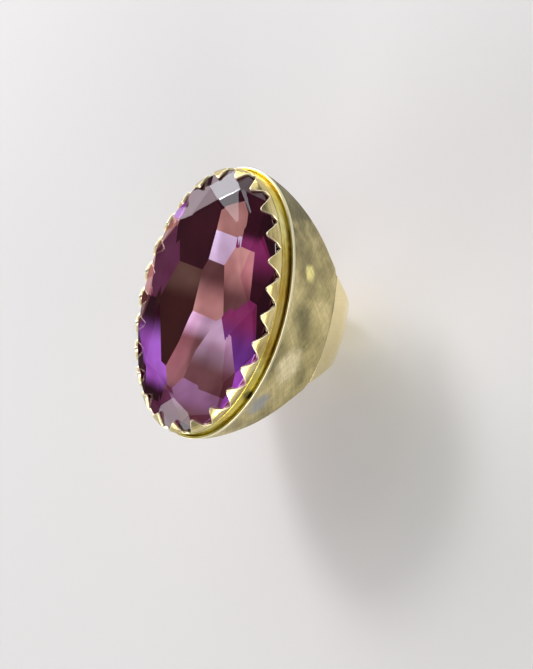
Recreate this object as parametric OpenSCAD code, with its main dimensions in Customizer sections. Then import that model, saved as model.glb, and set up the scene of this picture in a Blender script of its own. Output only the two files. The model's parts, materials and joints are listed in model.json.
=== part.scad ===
// Cocktail ring: a large oval brilliant held in a serrated bezel, on a wide band that tapers to the palm.
// X runs across the finger, Y along the finger and along the stone, Z from the palm up to the stone.
// The origin is the centre of the finger hole.

/* [Finger hole] */
// Inside diameter of the finger hole
finger_d = 16.5; // [15:0.1:19]
// Thickness of the liner that touches the finger
liner_t = 0.4; // [0.3:0.05:0.6]
// Widest part of the liner, along the finger
liner_w = 13; // [10:0.5:13]

/* [Palm shank] */
// Thickness of the shank over the liner, at its crown
shank_t = 0.85; // [0.6:0.05:1]
// Width of the shank at the palm
palm_w = 5.6; // [4:0.1:7]
// Radius of the shallow dome across the shank
dome_r = 28; // [20:1:40]
// Height of the seam between the shank and the shoulders, over the finger axis
seam_z = 1; // [0.5:0.1:1.5]

/* [Shoulders] */
// Thickness of the shoulder sheets
sheet_t = 0.8; // [0.5:0.05:1]
// Radius of the hollow curve along the lower edges of the band
flare_r = 16.5; // [15.5:0.5:18]
// Radius of the full curve along the upper edges of the shoulders
crest_r = 28; // [24:1:32]
// Height at which the hollow curve turns into the full curve
turn_z = 3.5; // [3:0.1:4]

/* [Head] */
// Length of the rim, along the finger
rim_l = 31.9; // [31.7:0.1:32.4]
// Width of the rim, across the finger
rim_w = 19.5; // [19.4:0.1:20]
// Height of the rim over the finger axis
rim_z = 11.3; // [11:0.1:11.8]
// Width of the rim wire
wire_w = 0.26; // [0.2:0.02:0.3]
// Height of the rim wire
wire_h = 0.5; // [0.3:0.1:0.8]

/* [Bezel] */
// Outer length of the bezel wall
bezel_l = 30.8; // [30.6:0.1:30.8]
// Outer width of the bezel wall
bezel_w = 18.4; // [18.2:0.1:18.4]
// Thickness of the bezel strip
bezel_t = 0.35; // [0.25:0.05:0.4]
// Number of saw teeth
tooth_n = 25; // [20:1:32]
// Height of the notches between the teeth, over the finger axis
notch_z = 12.95; // [12.8:0.05:13.1]
// Height of the tooth tips, over the finger axis
tip_z = 14.5; // [14.3:0.05:14.7]
// How far the tips lean in over the long sides
lean_side = 0.55; // [0.3:0.05:0.7]
// How far the tips lean in at the two ends
lean_end = 1.2; // [0.8:0.05:1.4]

/* [Stone] */
// Length of the stone
stone_l = 30; // [29.6:0.1:30]
// Width of the stone
stone_w = 17.6; // [17.4:0.1:17.6]
// Length of the table facet
table_l = 22.8; // [21:0.1:24]
// Width of the table facet
table_w = 11; // [10:0.1:12.5]
// Height of the table over the finger axis
table_z = 15; // [14.8:0.05:15.2]
// Height of the top of the girdle
girdle_z = 13.65; // [13.6:0.05:13.75]
// Thickness of the girdle
girdle_t = 0.25; // [0.1:0.05:0.3]
// Height of the keel at the bottom of the stone
keel_z = 8.9; // [8.8:0.05:9.5]
// Length of the keel
keel_l = 11; // [8:0.5:14]
// Height of the star corners, as a share of the way from the girdle up to the table
star_share = 0.6; // [0.4:0.01:0.7]
// How far the keel lies off the centre line
keel_x = -2.4; // [-2.6:0.1:2.6]
// Turn of the keel out of line with the stone, in degrees
keel_turn = -6; // [-6:0.5:6]
// Number of main facets round the crown
facet_n = 10; // [8:2:16]
// Turn of the facets against the oval outline, in degrees
facet_turn = 2; // [0:0.5:6]

/* [Hidden] */

oval_n = 96;                 // sides of an oval outline
round_n = 180;               // sides of a round outline
big = 40;                    // larger than the whole ring
finger_r = finger_d / 2;
liner_r = finger_r + liner_t;
shank_r = liner_r + shank_t;
foot_z = rim_z - 0.7;        // foot of the bezel, the seat and the channel
seat_w = 0.5;                // width of the ledge under the girdle
seat_z = 12.7;               // top of that ledge
cove_top_z = rim_z + 1.45;   // where the cove meets the bezel wall, just under the notches
window_x = 6.4;              // light window in the liner, across the finger
window_y = 8.8;              // and along it
bevel_h = 0.5;               // bevel along the lower edge of each shoulder
bevel_drop = 0.35;           // how far that bevel cuts in
hole_relief = 0.2;           // how far the shoulders stay clear of the finger, beyond the liner
floor_drop = 0.25;           // depth of the channel's floor under the rim
cove_share = 0.8;            // share of the channel's width that the cove takes up
bend_z = girdle_z - 0.1;     // height at which the teeth bend over
tip_w = 0.4;                 // width of a rounded tooth tip
root_h = 0.3;                // how far a tooth runs down into the strip
GOLD = [0.83, 0.70, 0.36];
BRUSHED_GOLD = [0.74, 0.68, 0.45];
STONE = [0.48, 0.20, 0.42];

// ---- Ovals. An oval of length l and width w runs along Y; an angle of 0 is its +X side. ----
function oval_point(l, w, angle) = [w / 2 * cos(angle), l / 2 * sin(angle)];
function oval_normal(l, w, angle) =
    let (n = [l * cos(angle), w * sin(angle)]) n / norm(n);
function oval(l, w) = [for (i = [0 : oval_n - 1]) oval_point(l, w, 360 * i / oval_n)];

// An oval ring from z0 up to z1, its wall t thick
module oval_ring(l, w, t, z0, z1) {
    translate([0, 0, z0]) linear_extrude(z1 - z0) difference() {
        polygon(oval(l, w));
        polygon(oval(l - 2 * t, w - 2 * t));
    }
}

// ---- Equal steps along the bezel wall ----
step_n = 360;                // steps in which the run of the wall is measured
wall_points = [for (i = [0 : step_n]) oval_point(bezel_l, bezel_w, 360 * i / step_n)];
wall_run = [for (i = 0, s = 0; i <= step_n; s = s + norm(wall_points[min(i + 1, step_n)] - wall_points[i]),
                 i = i + 1) s];
run_table = [for (i = [0 : step_n]) [wall_run[i] / wall_run[step_n], 360 * i / step_n]];
// Angle on the wall at a share of its whole run, starting at +X
function wall_angle(share) = lookup(share - floor(share), run_table);
// Point on the bezel wall, set in from its outer face
function wall_at(share, inset, z) =
    let (a = wall_angle(share),
         p = oval_point(bezel_l, bezel_w, a) - inset * oval_normal(bezel_l, bezel_w, a))
    [p[0], p[1], z];
function lean_at(share) =
    lean_side + (lean_end - lean_side) * pow(sin(wall_angle(share)), 2);

// ---- Outline of the band seen from the side, in Y and Z ----
// Hollow flare below turn_z and full crest above it, with one tangent where they meet
flare_y = palm_w / 2 + flare_r;
turn_angle = asin((turn_z + shank_r) / flare_r);
turn_y = flare_y - flare_r * cos(turn_angle);
crest_y = turn_y - crest_r * cos(turn_angle);
crest_z = turn_z + crest_r * sin(turn_angle);
module side_outline() {
    intersection() {
        translate([crest_y, crest_z]) circle(crest_r, $fn = round_n);
        translate([-crest_y, crest_z]) circle(crest_r, $fn = round_n);
        translate([-big / 2, turn_z]) square([big, rim_z - turn_z]);
    }
    difference() {
        translate([-turn_y, -big / 2]) square([2 * turn_y, big / 2 + turn_z]);
        for (side = [-1, 1])
            translate([side * flare_y, -shank_r]) circle(flare_r, $fn = round_n);
    }
}
// The outline carried through the whole ring, across the finger
module side_prism() {
    rotate([90, 0, 90]) linear_extrude(big, center = true) side_outline();
}
// A tube round the finger axis
module finger_tube(r_in, r_out, w) {
    rotate([90, 0, 0]) difference() {
        cylinder(r = r_out, h = w, center = true, $fn = round_n);
        cylinder(r = r_in, h = w + 1, center = true, $fn = round_n);
    }
}

// ---- Oval brilliant ----
facet_step = 360 / facet_n;
function turned(p) = [p[0] * cos(facet_turn) - p[1] * sin(facet_turn),
                      p[0] * sin(facet_turn) + p[1] * cos(facet_turn)];
// Facet angles are counted from +Y, so that a table corner points along the stone
function table_corner(i) = turned(oval_point(table_l, table_w, 90 - facet_step * i));
function girdle_angle(i) = 90 + facet_turn - facet_step * i;
function girdle_point(i) = oval_point(stone_l, stone_w, girdle_angle(i));
function girdle_normal(i) = oval_normal(stone_l, stone_w, girdle_angle(i));
// Each crown main runs from the girdle up to a table corner; its place at height z, measured outward
function main_reach(i, z) =
    girdle_normal(i) * girdle_point(i)
    - (z - girdle_z) / (table_z - girdle_z) * (girdle_normal(i) * (girdle_point(i) - table_corner(i)));
// Star corner: where two neighbouring mains cross at height z
function star_corner(i, z) =
    let (m = girdle_normal(i), n = girdle_normal(i + 1), c = main_reach(i, z), d = main_reach(i + 1, z),
         det = m[0] * n[1] - m[1] * n[0])
    [(c * n[1] - d * m[1]) / det, (d * m[0] - c * n[0]) / det];
star_z = girdle_z + star_share * (table_z - girdle_z);

module gemstone() {
    n = facet_n;
    m = 2 * n;
    tables = [for (i = [0 : n - 1]) [each table_corner(i), table_z]];
    stars = [for (i = [0 : n - 1]) [each star_corner(i, star_z), star_z]];
    upper = [for (i = [0 : m - 1]) [each girdle_point(i / 2), girdle_z]];
    lower = [for (i = [0 : m - 1]) [each girdle_point(i / 2), girdle_z - girdle_t]];
    keel = [for (side = [1, -1])
        [keel_x - side * keel_l / 2 * tan(keel_turn), side * keel_l / 2, keel_z]];
    // First index of each set of points
    s0 = n;
    u0 = s0 + n;
    l0 = u0 + m;
    k0 = l0 + m;
    // The girdle point nearest to +X and to -X, where the keel's two ends change over
    east = floor(m / 4 + facet_turn * m / 360);
    west = east + n;
    faces = concat(
        [[for (i = [0 : n - 1]) i]],
        [for (i = [0 : n - 1]) let (j = (i + 1) % n) each [
            [i, s0 + i, j],                                         // star
            [j, s0 + i, u0 + 2 * j],                                // main, first half
            [j, u0 + 2 * j, s0 + j],                                // main, second half
            [s0 + i, u0 + 2 * i, u0 + 2 * i + 1],                   // upper girdle facets
            [s0 + i, u0 + 2 * i + 1, u0 + 2 * j]]],
        [for (i = [0 : m - 1]) let (j = (i + 1) % m) each [
            [u0 + i, l0 + i, l0 + j],                               // girdle
            [u0 + i, l0 + j, u0 + j]]],
        [for (i = [0 : m - 1]) let (j = (i + 1) % m)                // pavilion
            [l0 + i, i >= east && i < west ? k0 + 1 : k0, l0 + j]],
        [[k0, k0 + 1, l0 + east], [k0 + 1, k0, l0 + west]]);
    color(STONE) polyhedron(concat(tables, stars, upper, lower, keel), faces);
}

// One saw tooth: upright as far as the girdle, then bent in over the crown
module saw_tooth(share) {
    half = 0.5 / tooth_n;
    lean = lean_at(share);
    root_z = notch_z - root_h;
    bend_half = half * (tip_z - bend_z) / (tip_z - notch_z);
    tip_half = tip_w / 2 / wall_run[step_n];
    rows = [[half, 0, root_z], [half, 0, notch_z], [bend_half, 0, bend_z], [tip_half, lean, tip_z]];
    points = [for (row = rows) each [
        wall_at(share + 1 - row[0], row[1], row[2]),
        wall_at(share + row[0], row[1], row[2]),
        wall_at(share + row[0], row[1] + bezel_t, row[2]),
        wall_at(share + 1 - row[0], row[1] + bezel_t, row[2])]];
    top = 4 * (len(rows) - 1);
    polyhedron(points, concat(
        [[0, 1, 2, 3]],
        [for (r = [0 : len(rows) - 2], k = [0 : 3]) let (j = (k + 1) % 4) each [
            [4 * r + k, 4 * r + 4 + k, 4 * r + 4 + j],
            [4 * r + k, 4 * r + 4 + j, 4 * r + j]]],
        [[top + 3, top + 2, top + 1, top]]));
}

module serrated_bezel() {
    color(GOLD) {
        oval_ring(bezel_l, bezel_w, bezel_t, foot_z, notch_z);
        for (i = [0 : tooth_n - 1]) saw_tooth(i / tooth_n);
    }
}

// Ledge soldered inside the bezel, on which the girdle rests
module stone_seat() {
    color(GOLD)
        oval_ring(bezel_l - 2 * bezel_t, bezel_w - 2 * bezel_t, seat_w, foot_z, seat_z);
}

// Polished cove between the bezel wall and the rim wire
module gallery_channel() {
    gap = (rim_w - bezel_w) / 2 - wire_w;
    gap_l = (rim_l - bezel_l) / 2 - wire_w;
    floor_z = rim_z - floor_drop;
    turn_n = 5;
    // Profile as [share of the gap, height]: floor at the wire, then a quarter hollow up the bezel wall
    profile = concat([[0, foot_z], [1, foot_z], [1, floor_z]],
        [for (k = [0 : turn_n]) let (a = 90 * k / turn_n)
            [cove_share * (1 - sin(a)), floor_z + (cove_top_z - floor_z) * (1 - cos(a))]]);
    count = len(profile);
    points = [for (i = [0 : oval_n - 1], p = profile)
        [each oval_point(bezel_l + 2 * gap_l * p[0], bezel_w + 2 * gap * p[0], 360 * i / oval_n), p[1]]];
    faces = [for (i = [0 : oval_n - 1], k = [0 : count - 1])
        let (a = i * count, b = (i + 1) % oval_n * count, j = (k + 1) % count) each [
            [a + k, a + j, b + j],
            [a + k, b + j, b + k]]];
    color(GOLD) polyhedron(points, faces);
}

// Bright border wire along the top edge of the shoulders
module rim_wire() {
    color(GOLD) oval_ring(rim_l, rim_w, wire_w, rim_z - wire_h, rim_z);
}

// One brushed sheet on the +X side, from the rim down to the seam with the shank
module shoulder_sheet() {
    face_x = rim_w / 2;
    color(BRUSHED_GOLD) difference() {
        intersection() {
            oval_ring(rim_l, rim_w, sheet_t, seam_z, rim_z - wire_h);
            side_prism();
            translate([0, -big / 2, 0]) cube([big, big, big]);
        }
        // Room inside the rim for the foot of the channel
        translate([0, 0, foot_z]) linear_extrude(big)
            polygon(oval(rim_l - 2 * wire_w, rim_w - 2 * wire_w));
        // Room for the liner, and beyond it for the finger
        rotate([90, 0, 0]) {
            cylinder(r = liner_r, h = liner_w, center = true, $fn = round_n);
            cylinder(r = finger_r + hole_relief, h = big, center = true, $fn = round_n);
        }
        // The lower edge is bevelled down to the shank
        rotate([90, 0, 0]) linear_extrude(big, center = true)
            polygon([[face_x - bevel_drop, seam_z], [face_x + bevel_drop, seam_z],
                     [face_x + bevel_drop, seam_z + 2 * bevel_h]]);
    }
}
module shoulder_right() { shoulder_sheet(); }
module shoulder_left() { mirror([1, 0, 0]) shoulder_sheet(); }

// Polished, slightly domed band round the palm side, from seam to seam
module palm_shank() {
    color(GOLD) intersection() {
        rotate([90, 0, 0]) rotate_extrude($fn = round_n) intersection() {
            translate([liner_r, -big / 2]) square([big, big]);
            translate([shank_r - dome_r, 0]) circle(dome_r, $fn = round_n);
        }
        side_prism();
        translate([-big / 2, -big / 2, seam_z - big]) cube([big, big, big]);
    }
}

// Thin sleeve that touches the finger all round, with a window under the stone
module finger_liner() {
    color(GOLD) difference() {
        intersection() {
            finger_tube(finger_r, liner_r, liner_w);
            side_prism();
        }
        linear_extrude(big) polygon(oval(window_y, window_x));
    }
}

gemstone();
serrated_bezel();
stone_seat();
gallery_channel();
rim_wire();
shoulder_right();
shoulder_left();
palm_shank();
finger_liner();
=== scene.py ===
"""Cocktail ring: a large oval brilliant in a serrated bezel, on a wide brushed band.

The sizes of the ring are in millimetres, in the part's own frame: Y runs along the finger and the
stone, Z from the palm up to the stone, X across the finger. Meshes are scaled to metres when they
are made. Lights, camera and floor are placed in metres.
"""
import json
import math
import bmesh
import bpy
from mathutils import Matrix, Vector


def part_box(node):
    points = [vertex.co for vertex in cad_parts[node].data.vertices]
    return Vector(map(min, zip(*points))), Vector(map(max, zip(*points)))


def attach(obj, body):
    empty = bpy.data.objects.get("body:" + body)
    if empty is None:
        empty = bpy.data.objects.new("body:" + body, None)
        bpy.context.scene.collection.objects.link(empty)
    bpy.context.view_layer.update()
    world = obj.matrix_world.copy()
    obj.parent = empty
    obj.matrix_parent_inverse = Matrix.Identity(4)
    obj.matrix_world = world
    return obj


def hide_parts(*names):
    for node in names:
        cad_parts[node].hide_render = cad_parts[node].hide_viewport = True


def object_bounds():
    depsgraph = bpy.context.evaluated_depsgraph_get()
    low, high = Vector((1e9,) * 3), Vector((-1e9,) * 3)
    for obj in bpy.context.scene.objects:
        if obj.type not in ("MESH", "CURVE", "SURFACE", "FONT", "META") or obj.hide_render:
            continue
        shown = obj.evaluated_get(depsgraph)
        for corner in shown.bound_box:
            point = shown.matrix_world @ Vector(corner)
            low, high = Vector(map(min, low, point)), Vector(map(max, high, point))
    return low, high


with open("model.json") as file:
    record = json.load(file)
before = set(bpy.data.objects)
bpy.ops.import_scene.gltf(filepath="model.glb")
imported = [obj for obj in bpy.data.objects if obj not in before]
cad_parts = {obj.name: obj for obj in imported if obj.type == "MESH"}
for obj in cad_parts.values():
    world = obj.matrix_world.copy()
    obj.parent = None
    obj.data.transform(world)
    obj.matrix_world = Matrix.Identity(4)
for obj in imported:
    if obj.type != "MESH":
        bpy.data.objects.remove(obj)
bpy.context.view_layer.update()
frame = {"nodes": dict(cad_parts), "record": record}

MM = 0.001


def box_mm(node):
    """Lowest and highest corner of a CAD node."""
    low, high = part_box(node)
    return Vector(low) / MM, Vector(high) / MM


# ---- Sizes taken from the frame ----
rim_low, rim_high = box_mm("rim_wire")
bezel_low, bezel_high = box_mm("serrated_bezel")
stone_low, stone_high = box_mm("gemstone")
channel_low, channel_high = box_mm("gallery_channel")
sheet_low, sheet_high = box_mm("shoulder_right")
shank_low, _ = box_mm("palm_shank")
_, liner_high = box_mm("finger_liner")
RIM_A, RIM_B, RIM_Z, RIM_FOOT = rim_high.y, rim_high.x, rim_high.z, rim_low.z
BEZEL_A, BEZEL_B, BEZEL_FOOT, TIP_Z = bezel_high.y, bezel_high.x, bezel_low.z, bezel_high.z
STONE_A, STONE_B, TABLE_Z, KEEL_Z = stone_high.y, stone_high.x, stone_high.z, stone_low.z
COVE_TOP, CHANNEL_FOOT = channel_high.z, channel_low.z
SHEET_TOP, SEAM_Z = sheet_high.z, sheet_low.z
SHANK_R = -shank_low.z
LINER_R = liner_high.z
LINER_HALF = liner_high.y
FINGER_R = frame["record"]["mounts"][0]["dims"]["r_mm"]

# ---- Sizes that the boxes can't show, as in the CAD source ----
PALM_HALF = 2.8            # half the width of the band at the palm
FLARE_R = 16.5             # hollow curve along the lower edges of the band
CREST_R = 28.0             # full curve along the upper edges of the shoulders
TURN_Z = 3.5               # where the one turns into the other
DOME_R = 28.0              # dome across the shank
SHEET_T = 0.8              # thickness of the shoulder sheets
HOLE_RELIEF = 0.2          # how far the sheets stay clear of the finger, beyond the liner
WIRE_W = 0.26              # width of the rim wire
BEZEL_T = 0.35             # thickness of the bezel strip
COVE_DROP = 0.25           # depth of the channel's floor under the rim
NOTCH_Z = 12.95            # bottom of the notches between the teeth
TOOTH_N = 25               # number of teeth
LEAN_SIDE, LEAN_END = 0.55, 1.2              # how far the tips lean in, at the sides and the ends
WINDOW_A, WINDOW_B = 4.4, 3.2                # half the light window in the liner
GIRDLE_Z, GIRDLE_T = 13.65, 0.25             # top and thickness of the girdle
TABLE_A, TABLE_B = 11.4, 5.5                 # half the table facet
FACET_N = 10                                 # main facets round the crown
FACET_TURN = math.radians(2)                 # their turn against the oval outline
STAR_SHARE = 0.6                             # share of the crown's height under the stars
KEEL_HALF = 5.5                              # half the keel's length
KEEL_X, KEEL_TURN = -2.4, math.radians(-6)   # the cutter left the keel off centre

# ---- Sizes finer than the CAD has them ----
BEND_Z = 13.5              # where the teeth begin to bend in
LEAN_POWER = 1.25          # how the bend tightens towards the tips
TOOTH_BLUNT = 0.24         # roundness of the tips
FACET_EDGE = 0.09          # width of the worn flats along the upper edges of the crown
SLIVER = 0.002             # corners of the stone closer than this become one
KEEL_CURVE = 0.014         # rise of the keel towards the stone's ends, per millimetre squared
# Rows of long facets beside the keel: side, distance out from the keel, slope in degrees, and
# where along Y they touch the keel's curve
KEEL_ROWS = {"keel left": (-1, 0, 25, (7, -1, -3, -15)),
             "keel right": (1, 0, 9, (8.3, 7.7, 1.5, -4.5, -6.5)),
             "keel outer": (1, 3, 21, (9.1, 8.1, 4.5, -6.5, -10.7))}
MAIN_AIM_Z = 7.0           # where the pavilion mains would meet, but for the facets at the keel
MAIN_AIM_SPREAD = 1.6      # how soon, along Y, the mains aim at an end of the keel
HALVES_SHARE = 0.42        # share of the pavilion's depth taken by the facets under the girdle


# ---- Mesh helpers ----
STREAK = 20                # how much faster the grain changes across the metal than along it
COLLAR_STREAK = 5          # the same on the collar
WELD = 1e-7                # points closer than this, in metres, become one


def make_object(name, vertices, faces, smooth=True, flow=None, rub_highlight=None):
    """A mesh object.

    flow gives each point its place along and across the metal, for grain that follows the shape,
    and the rubbed-edge attribute is 1 on edges that are worn bright and carry a painted highlight.
    """
    mesh = bpy.data.meshes.new(name)
    mesh.from_pydata([Vector(v) * MM for v in vertices], [], faces)
    if flow:
        layer = mesh.attributes.new("flow", "FLOAT_VECTOR", "POINT")
        for item, value in zip(layer.data, flow):
            item.vector = Vector(value) * MM
    if rub_highlight:
        layer = mesh.attributes.new("rub_highlight", "FLOAT", "POINT")
        for item, value in zip(layer.data, rub_highlight):
            item.value = value
    mesh.validate()
    work = bmesh.new()
    work.from_mesh(mesh)
    bmesh.ops.remove_doubles(work, verts=work.verts, dist=WELD)
    bmesh.ops.recalc_face_normals(work, faces=work.faces)
    work.to_mesh(mesh)
    work.free()
    for face in mesh.polygons:
        face.use_smooth = smooth
    obj = bpy.data.objects.new(name, mesh)
    bpy.context.scene.collection.objects.link(obj)
    return obj


def grid_faces(rows, cols, wrap_rows, wrap_cols):
    """Quads of a grid of points stored row by row."""
    faces = []
    for r in range(rows if wrap_rows else rows - 1):
        for c in range(cols if wrap_cols else cols - 1):
            r2, c2 = (r + 1) % rows, (c + 1) % cols
            faces.append((r * cols + c, r * cols + c2, r2 * cols + c2, r2 * cols + c))
    return faces


SHARP = math.radians(35)   # edges turning by more than this are rounded


def soften(obj, width):
    """Round the sharp edges of a piece. Its broad faces stay smooth."""
    bevel = obj.modifiers.new("edges", "BEVEL")
    bevel.width = width * MM
    bevel.segments = 3
    bevel.limit_method = "ANGLE"
    bevel.angle_limit = SHARP
    bevel.harden_normals = True
    return obj


# ---- Ovals: a is half the length along Y and b half the width along X. An angle of 0 is the +X
# side, and pi/2 the +Y end ----
def oval(a, b, angle):
    return Vector((b * math.cos(angle), a * math.sin(angle), 0))


def oval_normal(a, b, angle):
    return Vector((a * math.cos(angle), b * math.sin(angle), 0)).normalized()


def sweep_oval(name, a, b, profile, count=320, rub_highlight=0.0):
    """A closed ring: a closed profile of (outset, height) carried round an oval."""
    points, flow, run = [], [], [0.0]
    for (u, z), (v, w) in zip(profile, profile[1:]):
        run.append(run[-1] + math.hypot(v - u, w - z))
    for i in range(count):
        angle = 2 * math.pi * i / count
        base, out = oval(a, b, angle), oval_normal(a, b, angle)
        points += [base + out * u + Vector((0, 0, z)) for u, z in profile]
        flow += [(base.x, base.y, r * STREAK) for r in run]
    return make_object(name, points, grid_faces(count, len(profile), True, True), flow=flow,
                       rub_highlight=[rub_highlight] * len(points))


def arc_table(a, b, count=1440):
    """Share of an oval's whole run that lies behind each of its equally spaced angles."""
    steps = [oval(a, b, 2 * math.pi * i / count) for i in range(count + 1)]
    run = [0.0]
    for p, q in zip(steps, steps[1:]):
        run.append(run[-1] + (q - p).length)
    return [r / run[-1] for r in run]


BEZEL_RUN = arc_table(BEZEL_A, BEZEL_B)


def bezel_angle(share):
    """Angle at a share of the bezel's whole run."""
    share %= 1.0
    low, high = 0, len(BEZEL_RUN) - 1
    while high - low > 1:
        mid = (low + high) // 2
        if BEZEL_RUN[mid] <= share:
            low = mid
        else:
            high = mid
    part = (share - BEZEL_RUN[low]) / (BEZEL_RUN[high] - BEZEL_RUN[low])
    return 2 * math.pi * (low + part) / (len(BEZEL_RUN) - 1)


# ---- Side outline of the band: half its width at each height, and the other way round ----
FLARE_Y = PALM_HALF + FLARE_R
TURN_ANGLE = math.asin((TURN_Z + SHANK_R) / FLARE_R)
TURN_Y = FLARE_Y - FLARE_R * math.cos(TURN_ANGLE)
CREST_Y = TURN_Y - CREST_R * math.cos(TURN_ANGLE)
CREST_Z = TURN_Z + CREST_R * math.sin(TURN_ANGLE)


def half_width(z):
    """Half the width of the band at a height."""
    if z < TURN_Z:
        return FLARE_Y - math.sqrt(FLARE_R ** 2 - max(z + SHANK_R, 0) ** 2)
    return CREST_Y + math.sqrt(CREST_R ** 2 - (z - CREST_Z) ** 2)


def edge_height(y):
    """Height of the band's lower edge at a distance y along the finger."""
    y = abs(y)
    if y < TURN_Y:
        return -SHANK_R + math.sqrt(max(FLARE_R ** 2 - (FLARE_Y - y) ** 2, 0))
    return CREST_Z - math.sqrt(CREST_R ** 2 - (y - CREST_Y) ** 2)


def ease(x):
    """A soft step from 0 to 1."""
    x = min(max(x, 0.0), 1.0)
    return x * x * (3 - 2 * x)


# ---- Pieces ----
def build_rim_wire():
    """Upright wire round the head, its upper edges rounded."""
    w, top, foot, r, steps = WIRE_W, RIM_Z, RIM_FOOT, 0.1, 8
    turns = [math.pi / 2 * k / steps for k in range(steps + 1)]
    profile = [(0, foot), (0, top - r)]
    profile += [(-r + r * math.cos(a), top - r + r * math.sin(a)) for a in turns[1:]]
    profile += [(-w + r - r * math.sin(a), top - r + r * math.cos(a)) for a in turns]
    profile.append((-w, foot))
    # The whole wire takes the rubbed, bright gold: a painted highlight along the rim, over real wear
    return sweep_oval("rim_border", RIM_A, RIM_B, profile, rub_highlight=1.0)


def build_channel():
    """Polished cove from the rim wire up the bezel wall."""
    gap = RIM_B - BEZEL_B - WIRE_W
    floor_z = RIM_Z - COVE_DROP
    lip, feather, foot_share, steps = 0.04, 0.03, 0.9, 18
    profile = [(0, CHANNEL_FOOT), (gap, CHANNEL_FOOT), (gap, floor_z + lip)]
    for k in range(steps + 1):
        a = math.pi / 2 * k / steps
        profile.append((feather + (gap * foot_share - feather) * (1 - math.sin(a)),
                        floor_z + (COVE_TOP - floor_z) * (1 - math.cos(a))))
    profile.append((0, COVE_TOP))
    return sweep_oval("channel_cove", BEZEL_A, BEZEL_B, profile)


def tooth_height(share):
    """0 in a notch and 1 at a tip, with the tip rounded over."""
    t = abs((share * TOOTH_N + 0.5) % 1.0 - 0.5) * 2
    e = TOOTH_BLUNT
    return (math.sqrt(1 + e * e) - math.sqrt(t * t + e * e)) / (math.sqrt(1 + e * e) - e)


def collar_column(base, out, lean, top):
    """Points up the outside of the collar, over the cut edge and down the inside.

    Also how many of them lie on the plain wall, at each end of the column.
    """
    stations, edge, rubbed, steps = 12, 0.07, 0.07, 4
    turns = [math.pi / 2 * k / steps for k in range(1, steps)]

    def place(z, depth):
        """A point under the outer face, which bends in from BEND_Z up."""
        x = max((z - BEND_Z) / (TIP_Z - BEND_Z), 0)
        inset = lean * x ** LEAN_POWER
        slope = LEAN_POWER * lean * x ** (LEAN_POWER - 1) / (TIP_Z - BEND_Z)
        normal = Vector((1, slope)).normalized()
        u = -inset - depth * normal.x
        return base + out * u + Vector((0, 0, z - depth * normal.y))

    reach = top - edge - rubbed - BEZEL_FOOT
    heights = [BEZEL_FOOT + reach * k / stations for k in range(stations + 1)]
    column = [place(z, 0) for z in heights] + [place(top - edge, 0)]
    column += [place(top - edge + edge * math.sin(a), edge * (1 - math.cos(a))) for a in turns]
    column += [place(top, edge), place(top, BEZEL_T - edge)]
    column += [place(top - edge + edge * math.cos(a), BEZEL_T - edge * (1 - math.sin(a)))
               for a in turns]
    column.append(place(top - edge, BEZEL_T))
    column += [place(z, BEZEL_T) for z in reversed(heights)]
    return column, len(heights)


def build_bezel():
    """The collar, its upper edge cut into teeth that lean in over the stone."""
    per_tooth = 28
    count = TOOTH_N * per_tooth
    points, flow, rub_highlight, cols = [], [], [], 0
    for i in range(count):
        share = i / count
        angle = bezel_angle(share)
        base, out = oval(BEZEL_A, BEZEL_B, angle), oval_normal(BEZEL_A, BEZEL_B, angle)
        lean = LEAN_SIDE + (LEAN_END - LEAN_SIDE) * math.sin(angle) ** 2
        top = NOTCH_Z + tooth_height(share) * (TIP_Z - NOTCH_Z)
        column, plain = collar_column(base, out, lean, top)
        cols = len(column)
        # The cut edge is rubbed bright: wear, and a painted highlight along the tooth outlines
        rub_highlight += [0.0] * plain + [1.0] * (cols - 2 * plain) + [0.0] * plain
        points += column
        flow += [(base.x, base.y, (p.z + 2 * (p - base).xy.length) * COLLAR_STREAK) for p in column]
    faces = grid_faces(count, cols, True, True)
    return make_object("toothed_collar", points, faces, flow=flow, rub_highlight=rub_highlight)


def build_shoulder(side):
    """One flared sheet, its lower edge rolled down to meet the shank."""
    cols, rows, roll_h, roll = 180, 36, 1.0, 0.27
    end_share, end_x = 0.9985, 0.02    # it stops just short of the rim's end and the middle plane
    y_max = half_width(SHEET_TOP) * end_share
    outer, inner, flow = [], [], []
    run, last = 0.0, None
    for c in range(cols + 1):
        y = y_max * math.sin(math.pi * (c / cols - 0.5))
        angle = math.asin(y / RIM_A)
        here, out = oval(RIM_A, RIM_B, angle), oval_normal(RIM_A, RIM_B, angle)
        run += (here - last).length if c else 0.0
        last = here
        low = max(edge_height(y), SEAM_Z)
        hole = LINER_R if abs(y) <= LINER_HALF else FINGER_R + HOLE_RELIEF
        for r in range(rows + 1):
            z = low + (SHEET_TOP - low) * r / rows
            p = here - out * (roll * (1 - ease((z - SEAM_Z) / roll_h)))
            outer.append((side * p.x, p.y, z))
            flow.append((side * run, 0, z))
            depth = SHEET_T if z < CHANNEL_FOOT else WIRE_W
            angle_in = math.asin(max(min(y / (RIM_A - depth), 1), -1))
            wall = oval(RIM_A - depth, RIM_B - depth, angle_in).x
            clear = math.sqrt(max(hole ** 2 - z ** 2, 0))
            inner.append((side * max(wall, clear, end_x), y, z))
    count = len(outer)
    width = rows + 1
    faces = grid_faces(cols + 1, width, False, False)
    faces += [tuple(count + v for v in reversed(f)) for f in faces]
    bottom = [c * width for c in range(cols + 1)]
    top = [v + rows for v in bottom]
    ends = [[c * width + r for r in range(width)] for c in (0, cols)]
    for line in (bottom, top, *ends):
        faces += [(p, q, count + q, count + p) for p, q in zip(line, line[1:])]
    name = "shoulder_sheet_right" if side > 0 else "shoulder_sheet_left"
    return soften(make_object(name, outer + inner, faces, flow=flow + flow), width=0.09)


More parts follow.
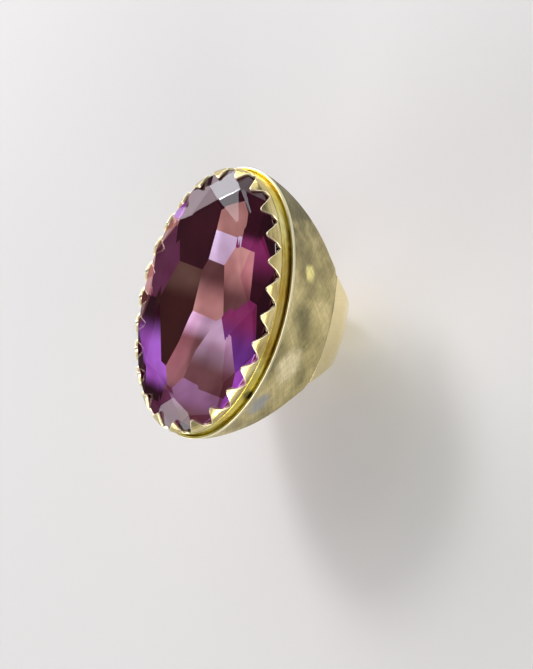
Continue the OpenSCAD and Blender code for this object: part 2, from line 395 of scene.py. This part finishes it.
def build_shank():
    """Domed band from seam to seam round the palm."""
    along, across = 200, 16

    def turn_at(r, i):
        """Angle of a station of the band at a radius, from the +X seam round the palm."""
        start = math.asin(SEAM_Z / r)
        return start - (math.pi + 2 * start) * i / along

    points, flow = [], []
    for i in range(along + 1):
        ring = []
        half = half_width(SHANK_R * math.sin(turn_at(SHANK_R, i)))
        for k in range(across + 1):
            y = (2 * k / across - 1) * half
            r = SHANK_R - DOME_R + math.sqrt(DOME_R ** 2 - y * y)
            turn = turn_at(r, i)
            ring.append((r * math.cos(turn), y, r * math.sin(turn)))
        turn = turn_at(LINER_R, i)
        z = LINER_R * math.sin(turn)
        half = half_width(z)
        ring += [(LINER_R * math.cos(turn), (1 - 2 * k / across) * half, z)
                 for k in range(across + 1)]
        points += ring
        flow += [(x, z, y * STREAK) for x, y, z in ring]
    cols = 2 * (across + 1)
    faces = grid_faces(along + 1, cols, False, True)
    faces += [tuple(range(cols)), tuple(along * cols + k for k in reversed(range(cols)))]
    return soften(make_object("palm_band", points, faces, flow=flow), width=0.12)


def build_liner():
    """Sleeve round the finger, as wide as the band allows, with the light window in its top."""
    around, across = 240, 14
    points = []
    for i in range(around):
        turn = 2 * math.pi * i / around
        ring = []
        for r, order in ((LINER_R, 1), (FINGER_R, -1)):
            z = r * math.sin(turn)
            half = min(half_width(z), LINER_HALF)
            ring += [(r * math.cos(turn), order * half * (2 * k / across - 1), z)
                     for k in range(across + 1)]
        points += ring
    liner = make_object("finger_sleeve", points, grid_faces(around, 2 * (across + 1), True, True))
    count = 64
    ends = [oval(WINDOW_A, WINDOW_B, 2 * math.pi * i / count) for i in range(count)]
    cutter_low, cutter_high = FINGER_R / 2, LINER_R + 1
    cutter_points = [p + Vector((0, 0, z)) for z in (cutter_low, cutter_high) for p in ends]
    faces = [tuple(range(count)), tuple(reversed(range(count, 2 * count)))]
    faces += [(i, (i + 1) % count, count + (i + 1) % count, count + i) for i in range(count)]
    cutter = make_object("window_cutter", cutter_points, faces)
    cut = liner.modifiers.new("window", "BOOLEAN")
    cut.object = cutter
    cut.operation = "DIFFERENCE"
    cut.solver = "EXACT"
    depsgraph = bpy.context.evaluated_depsgraph_get()
    done = bpy.data.meshes.new_from_object(liner.evaluated_get(depsgraph))
    liner.modifiers.clear()
    liner.data = done
    bpy.data.objects.remove(cutter)
    for face in liner.data.polygons:
        face.use_smooth = True
    return soften(liner, width=0.08)


# ---- The stone, cut the way a lapidary does: a rough oval, then one plane after another ----
STEP = 2 * math.pi / FACET_N    # from one main facet to the next


def turned(p):
    """A point of the table's outline, turned with the facets."""
    c, s = math.cos(FACET_TURN), math.sin(FACET_TURN)
    return Vector((p.x * c - p.y * s, p.x * s + p.y * c, 0))


def table_corner(i):
    return turned(oval(TABLE_A, TABLE_B, math.pi / 2 - STEP * i)) + Vector((0, 0, TABLE_Z))


def girdle_point(i, z):
    return oval(STONE_A, STONE_B, math.pi / 2 + FACET_TURN - STEP * i) + Vector((0, 0, z))


def girdle_out(i):
    """Outward direction at a place on the girdle."""
    return oval_normal(STONE_A, STONE_B, math.pi / 2 + FACET_TURN - STEP * i)


def main_plane(i, apex, z):
    """Facet from the girdle to an apex, level along the girdle: its normal and a point on it."""
    foot = girdle_point(i, z)
    along = girdle_out(i).cross(Vector((0, 0, 1)))
    normal = along.cross(apex - foot).normalized()
    if normal.dot(girdle_out(i)) < 0:
        normal = -normal
    return normal, foot


def crossing(plane_a, plane_b, z):
    """Where two facet planes meet at a height."""
    (m, p), (n, q) = plane_a, plane_b
    c = m.dot(p) - m.z * z
    d = n.dot(q) - n.z * z
    det = m.x * n.y - m.y * n.x
    return Vector(((c * n.y - d * m.y) / det, (d * m.x - c * n.x) / det, z))


def plane_through(p, q, r, outward):
    """Facet through three points: its normal and a point on it."""
    normal = (q - p).cross(r - p).normalized()
    if normal.dot(outward) < 0:
        normal = -normal
    return normal, p


def crown_planes():
    """Table, crown mains, stars and upper girdle facets."""
    upward = Vector((0, 0, 1))
    top = GIRDLE_Z
    star_z = top + STAR_SHARE * (TABLE_Z - top)
    mains = [main_plane(i, table_corner(i), top) for i in range(FACET_N)]
    planes = [("table", 0, upward, Vector((0, 0, TABLE_Z)))]
    planes += [("crown", i, *plane) for i, plane in enumerate(mains)]
    for i in range(FACET_N):
        j = (i + 1) % FACET_N
        star = crossing(mains[i], mains[j], star_z)
        planes.append(("star", i, *plane_through(table_corner(i), table_corner(j), star, upward)))
        mid, out = girdle_point(i + 0.5, top), girdle_out(i + 0.5)
        for corner in (i, i + 1):
            planes.append(("upper", i, *plane_through(star, mid, girdle_point(corner, top), out)))
    return planes


def keel_point(y, z):
    """A point at a height, on the keel's line as seen from above."""
    return Vector((KEEL_X - y * math.tan(KEEL_TURN), y, z))


def main_aim(i):
    """Where a pavilion main aims: at a place under the keel, or under one of its ends."""
    share = girdle_point(i, 0).y / STONE_A * MAIN_AIM_SPREAD
    return keel_point(KEEL_HALF * max(min(share, 1), -1), MAIN_AIM_Z)


def pavilion_planes():
    """Pavilion mains, and two halves between each pair of them under the girdle."""
    bottom = GIRDLE_Z - GIRDLE_T
    mains = [main_plane(i, main_aim(i), bottom) for i in range(FACET_N)]
    planes = [("main", i, *plane) for i, plane in enumerate(mains)]
    low_z = bottom - HALVES_SHARE * (bottom - KEEL_Z)
    for i in range(FACET_N):
        j = (i + 1) % FACET_N
        low = crossing(mains[i], mains[j], low_z)
        mid, out = girdle_point(i + 0.5, bottom), girdle_out(i + 0.5)
        for half, corner in enumerate((i, i + 1)):
            plane = plane_through(low, mid, girdle_point(corner, bottom), out)
            planes.append(("half", 2 * i + half, *plane))
    return planes


def keel_planes():
    """Long facets beside the keel, which curves up towards the stone's ends."""
    planes = []
    rise = math.tan(math.radians(KEEL_ROWS["keel right"][2]))
    for row, (side, out, slope, places) in KEEL_ROWS.items():
        slope = math.radians(slope)
        for k, y in enumerate(places):
            normal = Vector((side * math.sin(slope), 2 * KEEL_CURVE * y, -math.cos(slope)))
            normal.rotate(Matrix.Rotation(KEEL_TURN, 3, "Z"))
            point = keel_point(y, KEEL_Z + KEEL_CURVE * y * y) + Vector((side * out, 0, rise * out))
            planes.append((row, k, normal.normalized(), point))
    return planes


# Every facet as (row, index, outward normal, point on it). Index 0 is at the +Y end, and they run
# towards +X
PLANES = crown_planes() + pavilion_planes() + keel_planes()

# Tones that paint the reflections and shade that the cut shows, each from one part of the stone. A
# row lists its facets from the +Y end towards +X, and the keel rows from +Y down. A facet named
# "a>b" fades from the first tone at its +Y end to the second at its -Y end.
PAINTED_TONES = {
    "plum": (0.036, 0.004, 0.010), "brown": (0.036, 0.006, 0.004), "rose": (0.76, 0.43, 0.37),
    "peach": (0.50, 0.26, 0.22), "lilac": (0.86, 0.76, 1.00), "pink": (0.71, 0.57, 0.75),
    "violet": (0.59, 0.22, 0.95), "magenta": (0.285, 0.039, 0.160), "wine": (0.040, 0.003, 0.012),
    "mauve": (0.166, 0.043, 0.100), "olive": (0.112, 0.060, 0.042), "dusk": (0.18, 0.08, 0.075),
    "orchid": (0.38, 0.21, 0.36), "iris": (0.20, 0.06, 0.38), "clear": (0.96, 0.92, 0.96),
    "tinted": (0.80, 0.50, 0.72), "deep": (0.46, 0.16, 0.32)}
ROWS = {
    "table": "clear", "star": "clear",
    "crown": "clear clear tinted tinted clear clear tinted tinted clear clear",
    "upper": "clear deep deep deep deep clear clear tinted clear clear",
    "main": "plum wine magenta>wine magenta>iris violet mauve violet>wine wine>violet mauve plum",
    "half": "wine wine wine wine wine wine violet violet violet wine "
            "mauve mauve wine wine dusk rose peach mauve>violet plum plum",
    "keel right": "peach lilac dusk>rose pink>dusk dusk",
    "keel outer": "wine wine>magenta rose>dusk pink>dusk orchid>dusk",
    "keel left": "plum olive>brown brown dusk"}
PAVILION_ROWS = ("main", "half", *KEEL_ROWS)


def cut_blank():
    """The stone as a bmesh: a rough oval, larger than the stone, with every plane cut off it."""
    count, spare_below, spare_above = 200, 3, 1
    low_z = KEEL_Z - spare_below
    work = bmesh.new()
    low = [work.verts.new(oval(STONE_A, STONE_B, 2 * math.pi * i / count) + Vector((0, 0, low_z)))
           for i in range(count)]
    high = [work.verts.new(v.co + Vector((0, 0, TABLE_Z + spare_above - low_z))) for v in low]
    work.faces.new(list(reversed(low)))
    work.faces.new(high)
    for i in range(count):
        j = (i + 1) % count
        work.faces.new((low[i], low[j], high[j], high[i]))
    for _, _, normal, point in PLANES:
        everything = work.verts[:] + work.edges[:] + work.faces[:]
        cut = bmesh.ops.bisect_plane(work, geom=everything, dist=1e-5, plane_co=point,
                                     plane_no=normal, clear_outer=True)
        edges = [e for e in cut["geom_cut"] if isinstance(e, bmesh.types.BMEdge) and e.is_boundary]
        if len(edges) > 2:
            bmesh.ops.contextual_create(work, geom=edges)
    bmesh.ops.remove_doubles(work, verts=work.verts, dist=SLIVER)
    bmesh.ops.dissolve_limit(work, angle_limit=0.0005, verts=work.verts, edges=work.edges)
    work.verts.index_update()
    return work


def facet_of(face):
    """Row and index of the plane that a face of the stone was cut along."""
    turn_weight = 9    # millimetres of distance that a whole turn of the normal counts for

    def misfit(plane):
        _, _, normal, point = plane
        return (abs(normal.dot(face.center / MM - point))
                + turn_weight * (1 - normal.dot(face.normal)))
    return min(PLANES, key=misfit)[:2]


def wear_crown(stone):
    """Worn edges round the table and the stars: each is a narrow flat that can flash on its own."""
    clear_of_girdle = (GIRDLE_Z + 0.1) * MM
    worn = stone.data.attributes["bevel_weight_edge"].data
    for edge in stone.data.edges:
        foot = min(stone.data.vertices[v].co.z for v in edge.vertices)
        worn[edge.index].value = 1.0 if foot > clear_of_girdle else 0.0
    bevel = stone.modifiers.new("edges", "BEVEL")
    bevel.width = FACET_EDGE * MM
    bevel.segments = 1
    bevel.limit_method = "WEIGHT"


def build_stone():
    work = cut_blank()
    stone = make_object("cut_stone", [v.co.copy() for v in work.verts],
                        [tuple(v.index for v in f.verts) for f in work.faces], smooth=False)
    work.free()
    # All layers are made before any is filled, since adding one moves the others
    for name, kind, domain in (("tone", "FLOAT_COLOR", "CORNER"), ("fade", "FLOAT_COLOR", "CORNER"),
                               ("along", "FLOAT", "CORNER"), ("bevel_weight_edge", "FLOAT", "EDGE")):
        stone.data.attributes.new(name, kind, domain)
    tone, fade, along = (stone.data.attributes[name].data for name in ("tone", "fade", "along"))
    for face in stone.data.polygons:
        row, index = facet_of(face)
        names = ROWS[row].split()
        first, _, last = names[index % len(names)].partition(">")
        places = [stone.data.vertices[v].co.y for v in face.vertices]
        top, length = max(places), max(places) - min(places)
        for loop, y in zip(face.loop_indices, places):
            tone[loop].color = (*PAINTED_TONES[first], 1)
            fade[loop].color = (*PAINTED_TONES[last or first], 1)
            along[loop].value = (top - y) / length
        face.material_index = 1 if row in PAVILION_ROWS else 0
    wear_crown(stone)
    return stone


# ---- Materials ----
RUB_HIGHLIGHT_GOLD = (1.0, 0.92, 0.60)      # gold on rubbed edges: wear, painted lighter as a highlight
BURNISHED_ROUGHNESS = 0.16         # and how much rougher it is there


def sheet_place(angle, drop):
    """A place on the outer face of the shoulders, at a drop below the foot of the rim wire."""
    return oval(RIM_A, RIM_B, math.radians(angle)) + Vector((0, 0, RIM_FOOT - drop))


# Marks on the metal, and painted shade: place, radius, tint, and whether the mark covers the metal
# or only tints it.
# In the cove: patina with painted shade along the +X side, and a drop of solder towards the -Y end
COVE_MARKS_AND_SHADE = (
    (Vector((9.3, 1.5, 11.5)), 8.5, (0.56, 0.45, 0.32), False),
    (oval(15.5, 9.3, math.radians(-35)) + Vector((0, 0, 11.6)), 0.8, (0.20, 0.20, 0.24), False))
# On the +X sheet: painted shade towards the +Y end, a brighter patch, a greyed one, a solder repair
# beside the rim, and a yellower patch
SHEET_MARKS_AND_SHADE = (
    (sheet_place(62, 1.0), 5.5, (0.40, 0.41, 0.40), False),
    (sheet_place(-18, 3.4), 2.4, (1.0, 0.90, 0.58), True),
    (sheet_place(3, 3.0), 1.9, (0.74, 0.76, 0.78), False),
    (sheet_place(-38, 1.8), 1.7, (0.50, 0.50, 0.48), True),
    (sheet_place(22, 3.2), 1.1, (1.0, 0.91, 0.38), True))
# Distances, as shares of the radius, at which a mark starts to fade and is gone. Noise of up to
# one radius is added to the distance, which makes the edge ragged
MARK_WHOLE, MARK_GONE = 0.9, 1.7
WHITE = (1, 1, 1)


def new_material(name):
    material = bpy.data.materials.new(name)
    material.use_nodes = True
    tree = material.node_tree
    return material, tree, tree.nodes["Principled BSDF"]


def noise(tree, coordinates, scale, detail=3.0, roughness=0.5):
    made = tree.nodes.new("ShaderNodeTexNoise")
    made.inputs["Scale"].default_value = scale
    made.inputs["Detail"].default_value = detail
    made.inputs["Roughness"].default_value = roughness
    tree.links.new(coordinates, made.inputs["Vector"])
    return made.outputs["Fac"]


def ramp(tree, factor, stops):
    """Colour by a factor, through stops of (place, colour)."""
    made = tree.nodes.new("ShaderNodeValToRGB")
    tree.links.new(factor, made.inputs["Fac"])
    elements = made.color_ramp.elements
    while len(elements) < len(stops):
        elements.new(0.5)
    for element, (place, colour) in zip(elements, stops):
        element.position = place
        element.color = (*colour, 1)
    return made.outputs["Color"]


def to_range(tree, factor, low, high):
    made = tree.nodes.new("ShaderNodeMapRange")
    tree.links.new(factor, made.inputs["Value"])
    made.inputs["To Min"].default_value = low
    made.inputs["To Max"].default_value = high
    return made.outputs["Result"]


def drawn_out(tree, coordinates, slant, stretch):
    """Coordinates turned by a slant, then stretched along it, so that grain lies at that slant."""
    made = tree.nodes.new("ShaderNodeMapping")
    made.vector_type = "TEXTURE"
    made.inputs["Rotation"].default_value = (0, math.radians(slant), 0)
    made.inputs["Scale"].default_value = (stretch, 1, 1)
    tree.links.new(coordinates, made.inputs["Vector"])
    return made.outputs["Vector"]


def mix_colour(tree, factor, a, b, blend="MIX"):
    made = tree.nodes.new("ShaderNodeMix")
    made.data_type = "RGBA"
    made.blend_type = blend
    if isinstance(factor, float):
        made.inputs["Factor"].default_value = factor
    else:
        tree.links.new(factor, made.inputs["Factor"])
    tree.links.new(a, made.inputs["A"])
    tree.links.new(b, made.inputs["B"])
    return made.outputs["Result"]


def bump(tree, shader, height, strength, distance, below=None):
    made = tree.nodes.new("ShaderNodeBump")
    made.inputs["Strength"].default_value = strength
    made.inputs["Distance"].default_value = distance
    tree.links.new(height, made.inputs["Height"])
    if below is not None:
        tree.links.new(below, made.inputs["Normal"])
    tree.links.new(made.outputs["Normal"], shader.inputs["Normal"])
    return made.outputs["Normal"]


def attribute(tree, name, output="Color"):
    made = tree.nodes.new("ShaderNodeAttribute")
    made.attribute_name = name
    return made.outputs[output]


def flat_colour(tree, colour):
    made = tree.nodes.new("ShaderNodeRGB")
    made.outputs["Color"].default_value = (*colour, 1)
    return made.outputs["Color"]


def spot(tree, coordinates, centre, radius):
    """1 at a place on the metal, and 0 beyond a soft, uneven edge round it."""
    apart = tree.nodes.new("ShaderNodeVectorMath")
    apart.operation = "DISTANCE"
    tree.links.new(coordinates, apart.inputs[0])
    apart.inputs[1].default_value = centre * MM
    ragged = tree.nodes.new("ShaderNodeMath")
    ragged.operation = "MULTIPLY_ADD"
    tree.links.new(noise(tree, coordinates, 900, 3), ragged.inputs[0])
    ragged.inputs[1].default_value = radius * MM
    tree.links.new(apart.outputs["Value"], ragged.inputs[2])
    made = tree.nodes.new("ShaderNodeMapRange")
    made.interpolation_type = "SMOOTHSTEP"
    tree.links.new(ragged.outputs["Value"], made.inputs["Value"])
    made.inputs["From Min"].default_value = radius * MM * MARK_WHOLE
    made.inputs["From Max"].default_value = radius * MM * MARK_GONE
    made.inputs["To Min"].default_value = 1
    made.inputs["To Max"].default_value = 0
    return made.outputs["Result"]


def marked(tree, colour, coordinates, marks):
    """The colour of the metal with its marks and painted shade, one over the other."""
    for centre, radius, tint, covers in marks:
        mark = flat_colour(tree, tint)
        if not covers:
            mark = mix_colour(tree, 1.0, colour, mark, "MULTIPLY")
        colour = mix_colour(tree, spot(tree, coordinates, centre, radius), colour, mark)
    return colour


def polished_gold(name, dark, middle, light, streak_depth, marks=()):
    """Polished, with hairlines and dull streaks along the metal, and edges rubbed bright with a
    painted highlight.
    """
    material, tree, shader = new_material(name)
    place = tree.nodes.new("ShaderNodeTexCoord").outputs["Object"]
    flow = attribute(tree, "flow", "Vector")
    shader.inputs["Metallic"].default_value = 1.0
    colour = ramp(tree, noise(tree, place, 230, 4), [(0.3, dark), (0.5, middle), (0.7, light)])
    dull = (0.50, 0.42, 0.28)
    streaks = ramp(tree, noise(tree, flow, 420, 4, 0.6), [(0.36, dull), (0.56, WHITE)])
    streaked = mix_colour(tree, streak_depth, colour, streaks, "MULTIPLY")
    streaked = marked(tree, streaked, place, marks)
    # Rubbed edges: wear, lightened to a painted highlight
    rubbed = attribute(tree, "rub_highlight", "Fac")
    bright = flat_colour(tree, RUB_HIGHLIGHT_GOLD)
    tree.links.new(mix_colour(tree, rubbed, streaked, bright), shader.inputs["Base Color"])
    wear = to_range(tree, noise(tree, place, 900, 5, 0.6), 0.06, 0.26)
    dulled = tree.nodes.new("ShaderNodeMath")
    dulled.operation = "MULTIPLY_ADD"
    tree.links.new(rubbed, dulled.inputs[0])
    dulled.inputs[1].default_value = BURNISHED_ROUGHNESS
    tree.links.new(wear, dulled.inputs[2])
    tree.links.new(dulled.outputs["Value"], shader.inputs["Roughness"])
    hairline_depth = 0.00003
    bump(tree, shader, noise(tree, flow, 1100, 4, 0.65), 0.25, hairline_depth)
    return material


def brushed_gold():
    """Sheet rubbed in two crossing directions, with blotches, marks of age, and painted shade
    towards the +Y end.
    """
    material, tree, shader = new_material("brushed_gold")
    place = tree.nodes.new("ShaderNodeTexCoord").outputs["Object"]
    flow = attribute(tree, "flow", "Vector")
    shader.inputs["Metallic"].default_value = 0.85
    large = noise(tree, place, 220, 3, 0.5)
    small = noise(tree, place, 1300, 4, 0.6)
    dark, middle, light = (0.36, 0.31, 0.15), (0.60, 0.52, 0.25), (0.86, 0.74, 0.39)
    base = ramp(tree, large, [(0.36, dark), (0.5, middle), (0.64, light)])
    spots = ramp(tree, small, [(0.36, (0.80, 0.80, 0.78)), (0.62, WHITE)])
    colour = mix_colour(tree, 0.85, base, spots, "MULTIPLY")
    # Marks of age, and painted shade towards the +Y end
    colour = marked(tree, colour, place, SHEET_MARKS_AND_SHADE)
    # Scratches: noise drawn out along two slants across the sheet
    scratch_length, scratch_depth = 16, 0.00005
    first = noise(tree, drawn_out(tree, flow, 38, scratch_length), 3900, 4, 0.75)
    second = noise(tree, drawn_out(tree, flow, -47, scratch_length), 3300, 4, 0.75)
    for scratches in (first, second):
        rubbed = ramp(tree, scratches, [(0.38, (0.70, 0.69, 0.66)), (0.60, WHITE)])
        colour = mix_colour(tree, 0.62, colour, rubbed, "MULTIPLY")
    tree.links.new(colour, shader.inputs["Base Color"])
    tree.links.new(to_range(tree, small, 0.34, 0.52), shader.inputs["Roughness"])
    below = bump(tree, shader, first, 0.4, scratch_depth)
    bump(tree, shader, second, 0.4, scratch_depth, below)
    return material


def purple_stone():
    """Clear purple body of the stone, and its upper facets, whose tints differ from facet to facet
    as painted light and shade.
    """
    material, tree, shader = new_material("purple_stone")
    # Each crown facet's tint paints light and shade: clear ones look lit, tinted and deep ones
    # shaded
    tree.links.new(attribute(tree, "tone"), shader.inputs["Base Color"])
    shader.inputs["Roughness"].default_value = 0.0
    shader.inputs["IOR"].default_value = 1.76
    shader.inputs["Transmission Weight"].default_value = 1.0
    volume = tree.nodes.new("ShaderNodeVolumeAbsorption")
    volume.inputs["Color"].default_value = (0.85, 0.45, 0.75, 1)
    volume.inputs["Density"].default_value = 25.0
    tree.links.new(volume.outputs["Volume"], tree.nodes["Material Output"].inputs["Volume"])
    return material


def painted_pavilion_glow():
    """Lower facets, painted with the reflections and shade that the purple body shows: each has its
    own tone or a fade between two, and glows as painted light.
    """
    material, tree, shader = new_material("pavilion_painted_glow")
    place = tree.nodes.new("ShaderNodeTexCoord").outputs["Object"]
    change = tree.nodes.new("ShaderNodeMapRange")
    change.interpolation_type = "SMOOTHSTEP"
    change.inputs["From Min"].default_value = 0.25
    change.inputs["From Max"].default_value = 0.75
    tree.links.new(attribute(tree, "along", "Fac"), change.inputs["Value"])
    first, last = attribute(tree, "tone"), attribute(tree, "fade")
    tone = mix_colour(tree, change.outputs["Result"], first, last)
    # Blotchy painted shade across the facets
    drift = ramp(tree, noise(tree, place, 170, 2), [(0.36, (0.55, 0.42, 0.44)), (0.6, WHITE)])
    shown = mix_colour(tree, 0.8, tone, drift, "MULTIPLY")
    tree.links.new(shown, shader.inputs["Base Color"])
    # The facets glow with their tones: painted light, since the stone is no lamp
    tree.links.new(shown, shader.inputs["Emission Color"])
    shader.inputs["Emission Strength"].default_value = 0.6
    shader.inputs["Metallic"].default_value = 0.35
    shader.inputs["Specular IOR Level"].default_value = 0.1
    shader.inputs["Roughness"].default_value = 0.2
    return material


def pale_floor():
    material, _, shader = new_material("pale_floor")
    shader.inputs["Base Color"].default_value = (0.80, 0.80, 0.79, 1)
    shader.inputs["Roughness"].default_value = 0.8
    return material


def dress(obj, material):
    """Give a piece its first material. Faces keep the material index that they have."""
    indices = [face.material_index for face in obj.data.polygons]
    obj.data.materials.clear()
    obj.data.materials.append(material)
    for face, index in zip(obj.data.polygons, indices):
        face.material_index = index


GOLD = polished_gold(
    "polished_gold", dark=(0.58, 0.46, 0.18), middle=(0.74, 0.62, 0.28), light=(0.86, 0.74, 0.38),
    streak_depth=0.7)
# Rim and cove gold, brighter and more saturated than the bezel's: painted light from reflections
# bouncing inside the cove
LEMON_LIT_GOLD = polished_gold(
    "lemon_gold_painted_bounce", dark=(0.72, 0.56, 0.10), middle=(0.92, 0.82, 0.20), light=(0.98, 0.94, 0.42),
    streak_depth=0.6, marks=COVE_MARKS_AND_SHADE)
CREAM = polished_gold(
    "cream_gold", dark=(0.90, 0.77, 0.44), middle=(0.96, 0.84, 0.50), light=(1.0, 0.90, 0.58),
    streak_depth=0.12)
BRUSHED, PURPLE, PAINTED_PAVILION = brushed_gold(), purple_stone(), painted_pavilion_glow()

for piece, cad_node, slot, material in (
        (build_rim_wire(), "rim_wire", "gold_polished", LEMON_LIT_GOLD),
        (build_channel(), "gallery_channel", "gold_polished", LEMON_LIT_GOLD),
        (build_bezel(), "serrated_bezel", "gold_polished", GOLD),
        (build_shoulder(1), "shoulder_right", "gold_brushed", BRUSHED),
        (build_shoulder(-1), "shoulder_left", "gold_brushed", BRUSHED),
        (build_shank(), "palm_shank", "gold_polished", CREAM),
        (build_liner(), "finger_liner", "gold_polished", CREAM),
        (build_stone(), "gemstone", "stone", PURPLE)):
    dress(piece, material)
    if cad_node == "gemstone":
        piece.data.materials.append(PAINTED_PAVILION)
    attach(piece, "root")
    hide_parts(cad_node)

# The stone's seat keeps its CAD shape, and only takes the gold
for seat_slot in frame["nodes"]["stone_seat"].material_slots:
    seat_slot.link = "OBJECT"
    seat_slot.material = GOLD


# ---- Floor, light and camera ----
ROOM_DARK = Vector((-0.50, 0.15, 0.85))    # the darkest direction of the room
FLOOR_HALF = 0.6


def build_floor():
    """A square floor under the ring's lowest point."""
    mesh = bpy.data.meshes.new("floor")
    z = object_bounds()[0][2]
    corners = [(FLOOR_HALF * x, FLOOR_HALF * y, z) for x, y in ((-1, -1), (1, -1), (1, 1), (-1, 1))]
    mesh.from_pydata(corners, [], [(0, 1, 2, 3)])
    floor = bpy.data.objects.new("floor", mesh)
    bpy.context.scene.collection.objects.link(floor)
    dress(floor, pale_floor())


def add_light(name, azimuth, elevation, distance, width, height, radiance, colour=(1, 1, 1)):
    """A rectangular soft light aimed at the stone. Azimuth is counted from +X towards +Y."""
    light = bpy.data.lights.new(name, "AREA")
    light.shape = "RECTANGLE"
    light.size, light.size_y = width, height
    light.energy = radiance * math.pi * width * height
    light.color = colour
    obj = bpy.data.objects.new(name, light)
    turn, rise = math.radians(azimuth), math.radians(elevation)
    away = Vector((math.cos(turn) * math.cos(rise), math.sin(turn) * math.cos(rise), math.sin(rise)))
    obj.location = Vector((0, 0, TABLE_Z * MM)) + away * distance
    obj.rotation_euler = away.to_track_quat("Z", "Y").to_euler()
    bpy.context.scene.collection.objects.link(obj)


def build_world():
    """Soft room light: pale below and along the horizon, dark overhead towards the -X side."""
    world = bpy.data.worlds.new("studio")
    world.use_nodes = True
    tree = world.node_tree
    along = tree.nodes.new("ShaderNodeVectorMath")
    along.operation = "DOT_PRODUCT"
    along.inputs[1].default_value = ROOM_DARK
    tree.links.new(tree.nodes.new("ShaderNodeTexCoord").outputs["Generated"], along.inputs[0])
    pale, dark = (0.62, 0.62, 0.62), (0.06, 0.06, 0.07)
    shade = ramp(tree, along.outputs["Value"], [(0.0, pale), (0.45, dark)])
    tree.links.new(shade, tree.nodes["Background"].inputs["Color"])
    bpy.context.scene.world = world


build_floor()
# Azimuth and elevation in degrees, distance, width and height in metres, radiance, colour
add_light("window", 138, 25, 0.40, 0.13, 0.11, 3.6, (0.82, 0.96, 1.0))
add_light("room_window", 147, 23, 0.55, 0.41, 0.34, 2.7, (1.0, 0.82, 0.90))
add_light("top", 107, 30, 0.60, 0.44, 0.46, 0.95)
add_light("high", 132, 57, 0.50, 0.26, 0.12, 2.1, (0.92, 0.96, 1.0))
add_light("low", 108, 8, 0.60, 0.42, 0.11, 3.2)
add_light("key", 137, 44, 0.40, 0.08, 0.07, 28.0)
add_light("end_fill", -126, 24, 0.40, 0.24, 0.24, 2.3)
add_light("side", -10, 14, 0.45, 0.40, 0.18, 2.8, (1.0, 0.96, 0.90))
add_light("corner", -50, 12, 0.40, 0.24, 0.15, 6.0, (1.0, 0.96, 0.90))
build_world()
bpy.context.scene.view_settings.view_transform = "Standard"

# The camera looks down on the stone from its +X side, a little rolled
CAMERA_OFF_NORMAL = math.radians(33.2)   # from the stone's axis towards +X
CAMERA_TILT = math.radians(2.6)          # towards +Y
CAMERA_ROLL = math.radians(-14.4)
CAMERA_DISTANCE = 0.130
SENSOR_HEIGHT, CAMERA_LENS = 36, 61.7    # both in millimetres
AIM_RIGHT, AIM_DOWN = 0.00686, 0.00381   # where the view's centre lies from the middle of the bezel
BEZEL_MIDDLE = Vector((0, 0, 0.0132))


def build_camera():
    away = Vector((math.sin(CAMERA_OFF_NORMAL) * math.cos(CAMERA_TILT), math.sin(CAMERA_TILT),
                   math.cos(CAMERA_OFF_NORMAL) * math.cos(CAMERA_TILT)))
    up = Vector((0, 1, 0))
    up = (up - away * up.dot(away)).normalized()
    right = up.cross(away)
    c, s = math.cos(CAMERA_ROLL), math.sin(CAMERA_ROLL)
    image_right, image_up = c * right - s * up, s * right + c * up
    data = bpy.data.cameras.new("camera")
    data.sensor_fit = "VERTICAL"
    data.sensor_height = SENSOR_HEIGHT
    data.lens = CAMERA_LENS
    data.clip_start = 0.005
    camera = bpy.data.objects.new("camera", data)
    place = BEZEL_MIDDLE + away * CAMERA_DISTANCE + image_right * AIM_RIGHT - image_up * AIM_DOWN
    turn = Matrix((image_right, image_up, away)).transposed().to_4x4()
    camera.matrix_world = Matrix.Translation(place) @ turn
    bpy.context.scene.collection.objects.link(camera)
    bpy.context.scene.camera = camera


build_camera()
